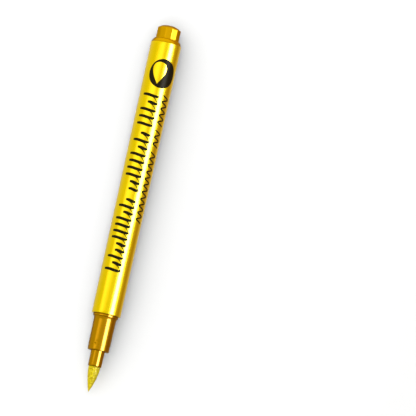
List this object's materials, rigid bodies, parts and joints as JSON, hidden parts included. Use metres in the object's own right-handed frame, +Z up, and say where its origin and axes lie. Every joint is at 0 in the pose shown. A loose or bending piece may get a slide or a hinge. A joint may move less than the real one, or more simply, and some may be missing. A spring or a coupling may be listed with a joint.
{
  "type": "calligraphy marker",
  "caption": "Slim metallic-gold brush pen, uncapped: tapered round barrel, stepped front section, soft pointed brush nib and faceted tail plug.",
  "frame": {"origin": "on the surface the pen lies on, under the middle of its length", "axes": "+X along the pen's axis towards the tail, so that the nib points to -X; +Z up"},
  "size_m": [0.1366, 0.0112, 0.0112],
  "materials": {
    "bright_gold": "satin metallic bright-gold lacquer on moulded plastic",
    "deep_gold": "glossy metallic old-gold lacquer on moulded plastic",
    "inked_fibre": "bonded nylon fibre soaked with metallic gold ink, matt with a fine glitter",
    "reservoir_fibre": "bonded polyester fibre soaked with ink",
    "reservoir_film": "thin clear film"
  },
  "bodies": {
    "pen_body": {"barrel": "bright_gold", "front_section": "deep_gold", "nib_holder": "deep_gold", "reservoir_core": "reservoir_fibre", "reservoir_film": "reservoir_film"},
    "nib": {"nib_shank": "inked_fibre"},
    "nib_point": {"nib_tip": "inked_fibre"},
    "plug": {"tail_plug": "deep_gold"}
  },
  "joints": [
    {"name": "nib_pull", "type": "slide", "parent": "pen_body", "child": "nib", "axis": [-1, 0, 0], "range_m": [0, 0.037]},
    {"name": "nib_flex", "type": "hinge", "parent": "nib", "child": "nib_point", "pos_m": [-0.062, 0, 0.0056], "axis": [0, 0, 1], "range_deg": [-30, 30], "stiffness_Nm_per_rad": 0.003},
    {"name": "plug_pull", "type": "slide", "parent": "pen_body", "child": "plug", "axis": [1, 0, 0], "range_m": [0, 0.0115]}
  ]
}
